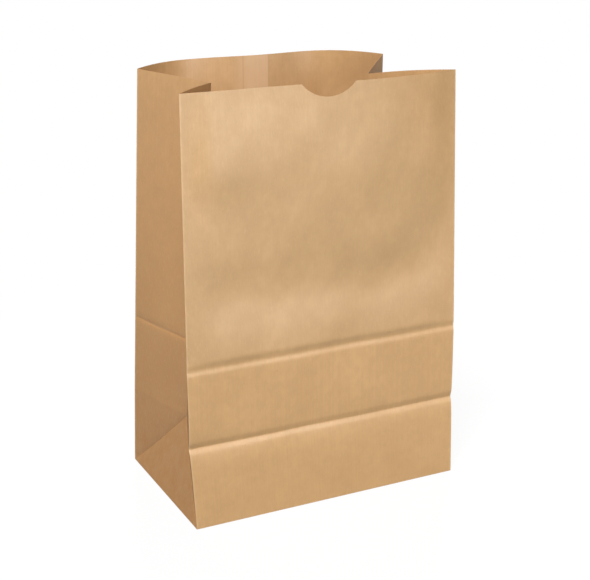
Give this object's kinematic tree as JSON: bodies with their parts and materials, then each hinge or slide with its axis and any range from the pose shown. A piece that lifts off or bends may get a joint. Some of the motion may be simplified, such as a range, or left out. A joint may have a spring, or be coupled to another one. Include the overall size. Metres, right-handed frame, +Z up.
{
  "type": "brown paper bag",
  "caption": "Open, square-bottomed brown paper bag with pleated sides, fold creases and a thumb notch in its rim, for carrying lunch or groceries.",
  "frame": {"origin": "middle of the base, on the underside that the bag stands on", "axes": "+Z up through the open mouth, -Y out of the notched front panel, X across the front panel"},
  "size_m": [0.3083, 0.2068, 0.4402],
  "materials": {
    "paper": "uncoated brown wrapping paper, matt, with fine fibres"
  },
  "bodies": {
    "root": {"paper_bag": "paper"}
  },
  "joints": []
}
